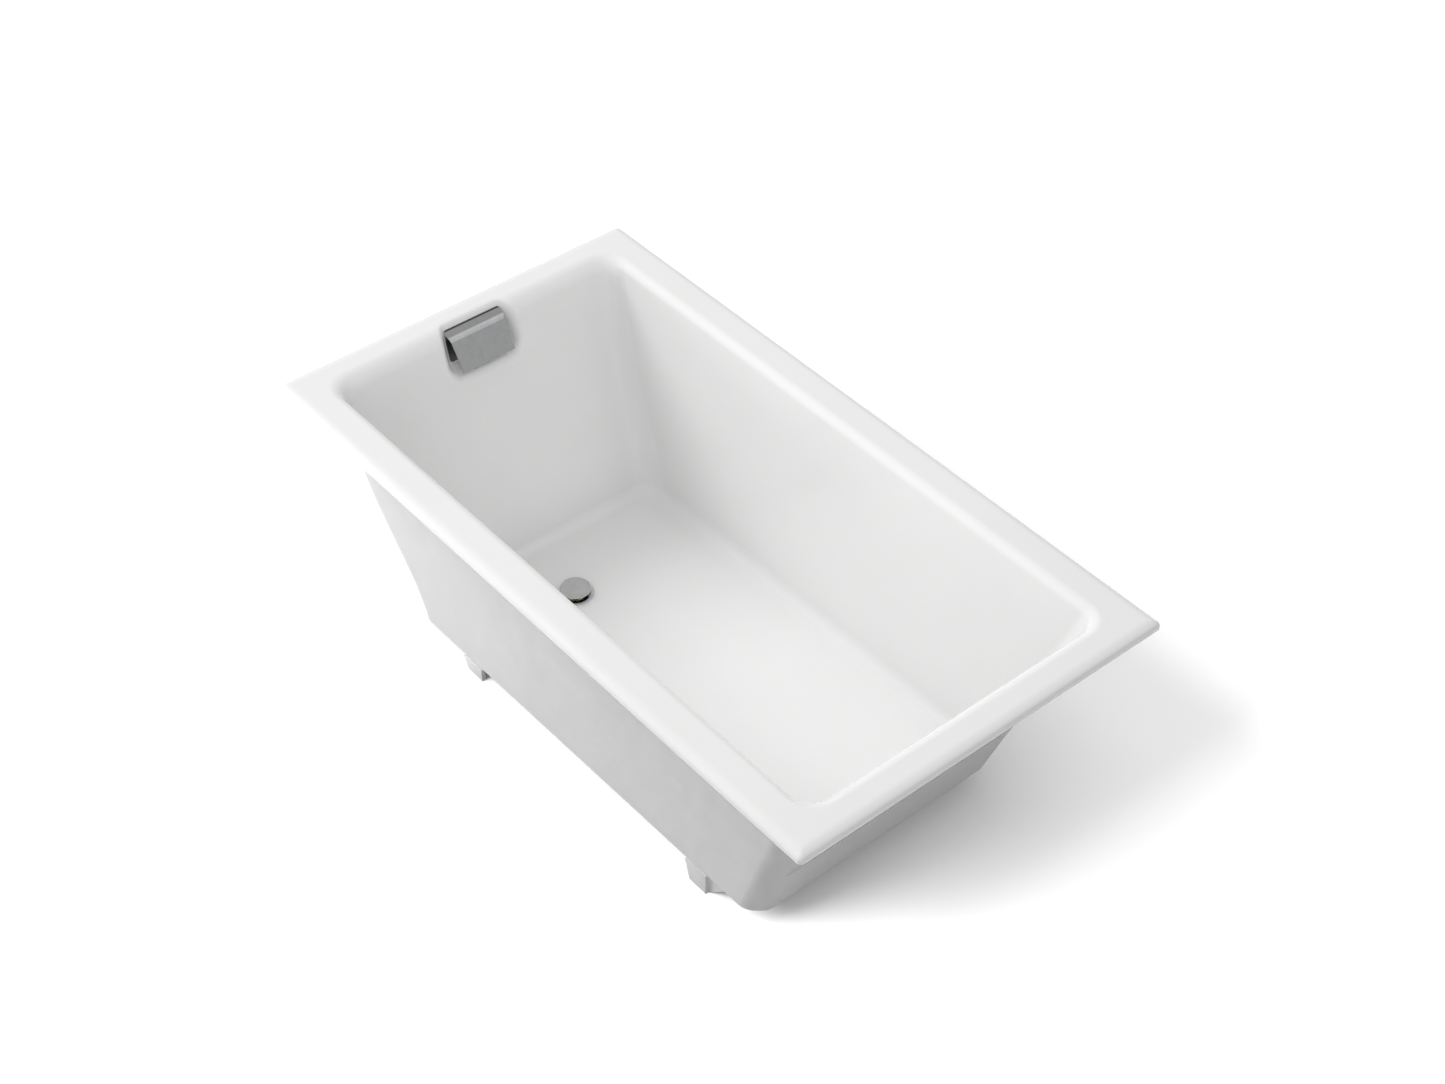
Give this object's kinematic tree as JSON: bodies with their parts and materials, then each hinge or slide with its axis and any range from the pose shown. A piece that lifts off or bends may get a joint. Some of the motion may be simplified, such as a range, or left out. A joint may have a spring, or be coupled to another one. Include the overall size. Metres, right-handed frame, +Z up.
{
  "type": "bathtub",
  "caption": "Drop-in cast bathtub with a wide flat rim, sloping backrest, short legs, a raised push stopper and a hooded overflow with its waste pipes.",
  "frame": {"origin": "on the floor, below the centre of the rim", "axes": "+Z up; +X along the bath, away from the end with the drain and overflow; +Y across the bath"},
  "size_m": [1.6764, 0.9144, 0.5842],
  "materials": {
    "enamel": "glossy white porcelain enamel over cast iron",
    "foot_enamel": "satin white enamel over cast iron",
    "chrome": "polished chrome plate",
    "backing_plate": "dark satin metal",
    "brass": "drawn and cast brass",
    "steel": "zinc-plated steel",
    "rubber": "matt black rubber"
  },
  "bodies": {
    "bath": {"bath_shell": "enamel", "drain_flange": "chrome", "drain_gasket": "rubber", "drain_shoe": "brass", "foot_bolt_drain_end_far": "steel", "foot_bolt_drain_end_near": "steel", "foot_bolt_heel_end_far": "steel", "foot_bolt_heel_end_near": "steel", "foot_drain_end_far": "foot_enamel", "foot_drain_end_near": "foot_enamel", "foot_heel_end_far": "foot_enamel", "foot_heel_end_near": "foot_enamel", "overflow_cover": "chrome", "overflow_foot_nut": "brass", "overflow_foot_washer": "rubber", "overflow_gasket": "rubber", "overflow_head": "brass", "overflow_head_nut": "brass", "overflow_head_washer": "rubber", "overflow_pipe": "brass", "overflow_plate": "backing_plate", "overflow_screw_far": "steel", "overflow_screw_near": "steel", "shoe_pipe": "brass", "shoe_pipe_nut": "brass", "shoe_pipe_washer": "rubber", "stopper_spring": "steel", "toe_tap_cartridge": "brass", "waste_tee": "brass"},
    "stopper": {"stopper_cap": "chrome", "stopper_seal": "rubber", "stopper_plunger": "brass"}
  },
  "joints": [
    {"name": "stopper_push", "type": "slide", "parent": "bath", "child": "stopper", "axis": [0, 0, 1], "range_m": [-0.0095, 0], "stiffness_N_per_m": 300, "springref_m": 0.02, "deforming": ["stopper_spring"]}
  ]
}
